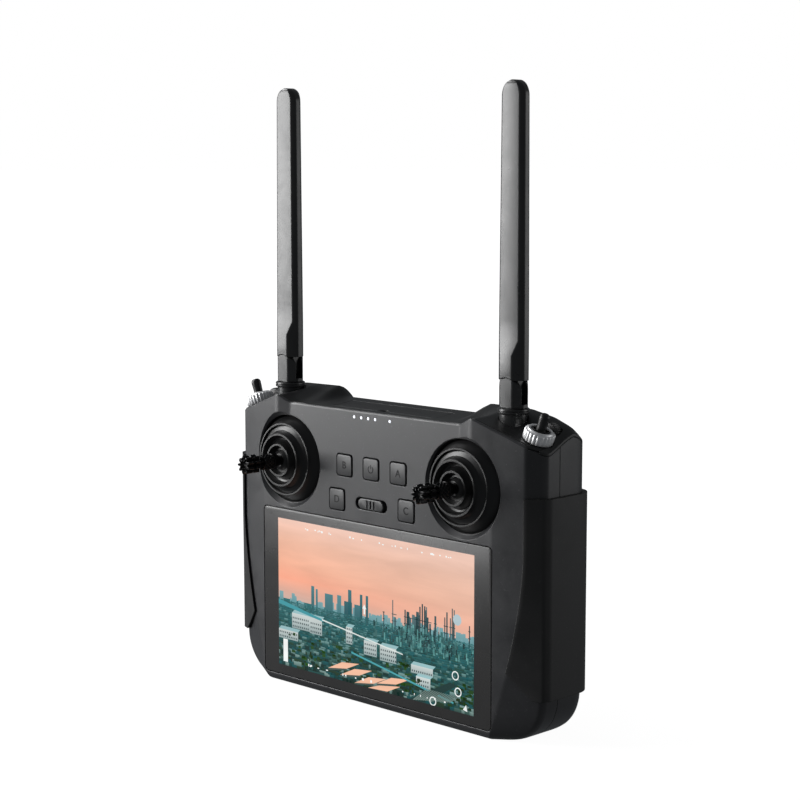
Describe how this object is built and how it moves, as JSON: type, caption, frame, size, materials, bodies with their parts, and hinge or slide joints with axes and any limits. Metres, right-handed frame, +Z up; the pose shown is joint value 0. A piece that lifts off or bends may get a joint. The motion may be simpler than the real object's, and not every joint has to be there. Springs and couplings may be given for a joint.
{
  "type": "radio transmitter controller",
  "caption": "Handheld radio controller: wide slab body with a built-in screen, spring sticks in round rubber boots, square keys, shoulder toggle switches and tall folding blade antennas.",
  "frame": {"origin": "centre of the flat bottom face that the controller stands on", "axes": "+X to the right of the user facing the screen, +Y away from the user, +Z up along the antennas"},
  "size_m": [0.1884, 0.0657, 0.2714],
  "materials": {
    "case_plastic": "fine moulded texture, dark grey",
    "deck_plastic": "satin black moulded plastic",
    "grip_rubber": "matte black rubber",
    "boot_rubber": "smooth black rubber",
    "screen_glass": "glass front of a lit screen, glossy",
    "button_plastic": "satin dark grey keys",
    "black_metal": "black anodised, knurled",
    "chrome": "bright plated, knurled",
    "steel": "plain steel",
    "antenna_plastic": "satin black moulded plastic",
    "light_guide": "clear white light guide",
    "circuit_board": "green solder mask",
    "battery_wrap": "blue shrink wrap",
    "inner_plastic": "plain black moulding"
  },
  "bodies": {
    "case": {"front_shell": "case_plastic", "rear_shell": "case_plastic", "top_cover": "deck_plastic", "grip_left": "grip_rubber", "grip_right": "grip_rubber", "screen_glass": "screen_glass", "display_panel": "inner_plastic", "main_board": "circuit_board", "button_board": "circuit_board", "battery_pack": "battery_wrap", "speaker": "inner_plastic", "fan_housing": "inner_plastic", "charge_port": "steel", "status_light_guide": "light_guide", "gimbal_bezel_left": "boot_rubber", "gimbal_frame_left": "inner_plastic", "toggle_body_left": "boot_rubber", "toggle_nut_left": "chrome", "dial_encoder_left": "inner_plastic", "antenna_collar_left": "antenna_plastic", "gimbal_bezel_right": "boot_rubber", "gimbal_frame_right": "inner_plastic", "toggle_body_right": "boot_rubber", "toggle_nut_right": "chrome", "dial_encoder_right": "inner_plastic", "antenna_collar_right": "antenna_plastic"},
    "button_b": {"button_b": "button_plastic"},
    "button_power": {"button_power": "button_plastic"},
    "button_a": {"button_a": "button_plastic"},
    "button_d": {"button_d": "button_plastic"},
    "button_c": {"button_c": "button_plastic"},
    "mode_slider": {"mode_slider": "button_plastic"},
    "top_port_flap": {"top_port_flap": "deck_plastic"},
    "fan_rotor": {"fan_rotor": "inner_plastic"},
    "gimbal_yoke_left": {"gimbal_yoke_left": "inner_plastic"},
    "stick_left": {"stick_shaft_left": "steel", "stick_boot_left": "boot_rubber", "stick_nut_left": "black_metal", "stick_sleeve_left": "black_metal", "stick_cap_left": "black_metal"},
    "toggle_left": {"toggle_lever_left": "boot_rubber"},
    "dial_left": {"dial_wheel_left": "boot_rubber"},
    "antenna_base_left": {"antenna_base_left": "antenna_plastic", "antenna_pin_left": "steel"},
    "antenna_blade_left": {"antenna_blade_left": "antenna_plastic"},
    "gimbal_yoke_right": {"gimbal_yoke_right": "inner_plastic"},
    "stick_right": {"stick_shaft_right": "steel", "stick_boot_right": "boot_rubber", "stick_nut_right": "black_metal", "stick_sleeve_right": "black_metal", "stick_cap_right": "black_metal"},
    "toggle_right": {"toggle_lever_right": "boot_rubber"},
    "dial_right": {"dial_wheel_right": "boot_rubber"},
    "antenna_base_right": {"antenna_base_right": "antenna_plastic", "antenna_pin_right": "steel"},
    "antenna_blade_right": {"antenna_blade_right": "antenna_plastic"}
  },
  "joints": [
    {"name": "button_b_press", "type": "slide", "parent": "case", "child": "button_b", "axis": [0, 1, 0], "range_m": [0, 0.0005], "stiffness_N_per_m": 1500, "springref_m": -0.0003},
    {"name": "button_power_press", "type": "slide", "parent": "case", "child": "button_power", "axis": [0, 1, 0], "range_m": [0, 0.0005], "stiffness_N_per_m": 1500, "springref_m": -0.0003},
    {"name": "button_a_press", "type": "slide", "parent": "case", "child": "button_a", "axis": [0, 1, 0], "range_m": [0, 0.0005], "stiffness_N_per_m": 1500, "springref_m": -0.0003},
    {"name": "button_d_press", "type": "slide", "parent": "case", "child": "button_d", "axis": [0, 1, 0], "range_m": [0, 0.0005], "stiffness_N_per_m": 1500, "springref_m": -0.0003},
    {"name": "button_c_press", "type": "slide", "parent": "case", "child": "button_c", "axis": [0, 1, 0], "range_m": [0, 0.0005], "stiffness_N_per_m": 1500, "springref_m": -0.0003},
    {"name": "mode_slide", "type": "slide", "parent": "case", "child": "mode_slider", "axis": [1, 0, 0], "range_m": [-0.0016, 0.0016]},
    {"name": "port_flap_hinge", "type": "hinge", "parent": "case", "child": "top_port_flap", "pos_m": [0, 0.002, 0.13193], "axis": [-1, 0, 0], "range_deg": [0, 95]},
    {"name": "fan_spin", "type": "hinge", "parent": "case", "child": "fan_rotor", "pos_m": [0, 0.012, 0.084], "axis": [0, 1, 0], "continuous": true},
    {"name": "stick_left_vertical", "type": "hinge", "parent": "case", "child": "gimbal_yoke_left", "pos_m": [-0.0538, -0.007, 0.105], "axis": [1, 0, 0], "range_deg": [-24, 24]},
    {"name": "stick_left_horizontal", "type": "hinge", "parent": "gimbal_yoke_left", "child": "stick_left", "pos_m": [-0.0538, -0.007, 0.105], "axis": [0, 0, 1], "range_deg": [-24, 24], "stiffness_Nm_per_rad": 0.06},
    {"name": "toggle_left_flip", "type": "hinge", "parent": "case", "child": "toggle_left", "pos_m": [-0.0854, -0.0055, 0.12843], "axis": [0.9336, 0, 0.3584], "range_deg": [-12, 12]},
    {"name": "dial_left_turn", "type": "hinge", "parent": "case", "child": "dial_left", "pos_m": [-0.0832, 0.0033, 0.1274], "axis": [0, 1, 0], "range_deg": [-30, 30], "stiffness_Nm_per_rad": 0.01},
    {"name": "antenna_left_swivel", "type": "hinge", "parent": "case", "child": "antenna_base_left", "pos_m": [-0.0684, -0.00195, 0.138], "axis": [0, 0, 1], "range_deg": [-90, 90]},
    {"name": "antenna_left_fold", "type": "hinge", "parent": "antenna_base_left", "child": "antenna_blade_left", "pos_m": [-0.0684, -0.00195, 0.1439], "axis": [0, -1, 0], "range_deg": [0, 80]},
    {"name": "stick_right_vertical", "type": "hinge", "parent": "case", "child": "gimbal_yoke_right", "pos_m": [0.0538, -0.007, 0.105], "axis": [1, 0, 0], "range_deg": [-24, 24], "stiffness_Nm_per_rad": 0.06},
    {"name": "stick_right_horizontal", "type": "hinge", "parent": "gimbal_yoke_right", "child": "stick_right", "pos_m": [0.0538, -0.007, 0.105], "axis": [0, 0, 1], "range_deg": [-24, 24], "stiffness_Nm_per_rad": 0.06},
    {"name": "toggle_right_flip", "type": "hinge", "parent": "case", "child": "toggle_right", "pos_m": [0.0854, -0.0055, 0.12843], "axis": [0.9336, 0, -0.3584], "range_deg": [-12, 12]},
    {"name": "dial_right_turn", "type": "hinge", "parent": "case", "child": "dial_right", "pos_m": [0.0832, 0.0033, 0.1274], "axis": [0, 1, 0], "range_deg": [-30, 30], "stiffness_Nm_per_rad": 0.01},
    {"name": "antenna_right_swivel", "type": "hinge", "parent": "case", "child": "antenna_base_right", "pos_m": [0.0684, -0.00195, 0.138], "axis": [0, 0, 1], "range_deg": [-90, 90]},
    {"name": "antenna_right_fold", "type": "hinge", "parent": "antenna_base_right", "child": "antenna_blade_right", "pos_m": [0.0684, -0.00195, 0.1439], "axis": [0, 1, 0], "range_deg": [0, 80]}
  ]
}
